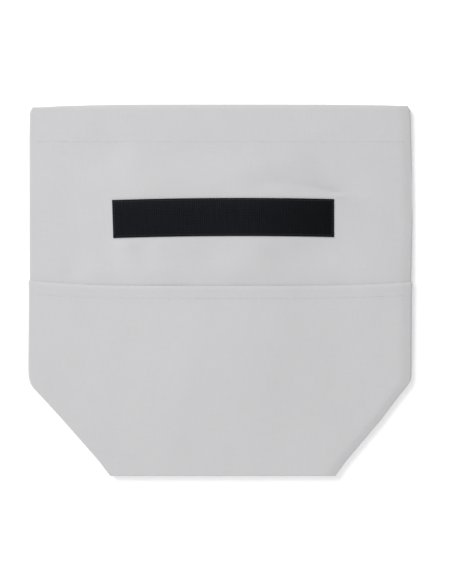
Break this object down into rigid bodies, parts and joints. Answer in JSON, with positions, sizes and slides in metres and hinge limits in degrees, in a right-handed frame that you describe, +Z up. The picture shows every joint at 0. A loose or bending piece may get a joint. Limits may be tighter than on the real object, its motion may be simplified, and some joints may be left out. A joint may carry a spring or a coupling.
{
  "type": "cooler bag",
  "caption": "Soft insulated roll-top cooler bag lying flat and empty, with its base tucked in, a cloth front pocket and a hook tape closure.",
  "frame": {"origin": "under the middle of the flat outline, on the surface that the bag lies on", "axes": "+Z up out of the front, +Y towards the mouth, +X to the right as seen from the front"},
  "size_m": [0.3842, 0.3712, 0.021],
  "materials": {
    "grey_cloth": "matte fine plain weave",
    "black_tape": "matte ribbed hook tape"
  },
  "bodies": {
    "root": {"front_panel": "grey_cloth", "back_panel": "grey_cloth", "base_gusset": "grey_cloth", "front_pocket": "grey_cloth", "hook_strip": "black_tape", "loop_strip": "black_tape"}
  },
  "joints": []
}
